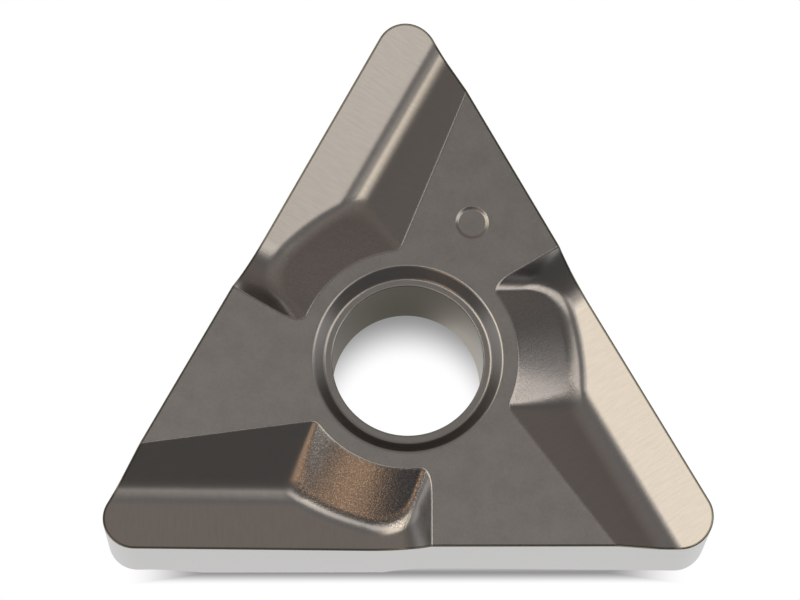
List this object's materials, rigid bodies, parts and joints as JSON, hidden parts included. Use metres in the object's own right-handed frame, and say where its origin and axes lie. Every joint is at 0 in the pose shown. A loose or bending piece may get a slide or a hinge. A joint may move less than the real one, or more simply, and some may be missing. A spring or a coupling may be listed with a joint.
{
  "type": "carbide insert",
  "caption": "Triangular indexable carbide turning insert, both faces alike, with a one-way chip groove at each corner and a chamfered centre bore.",
  "frame": {"origin": "middle of the bore, half way between the two faces", "axes": "+Z along the bore, +Y from the bore to the corner beside the index dot"},
  "size_m": [0.0154, 0.0135, 0.0048],
  "materials": {
    "carbide": "satin"
  },
  "bodies": {
    "root": {"insert": "carbide"}
  },
  "joints": []
}
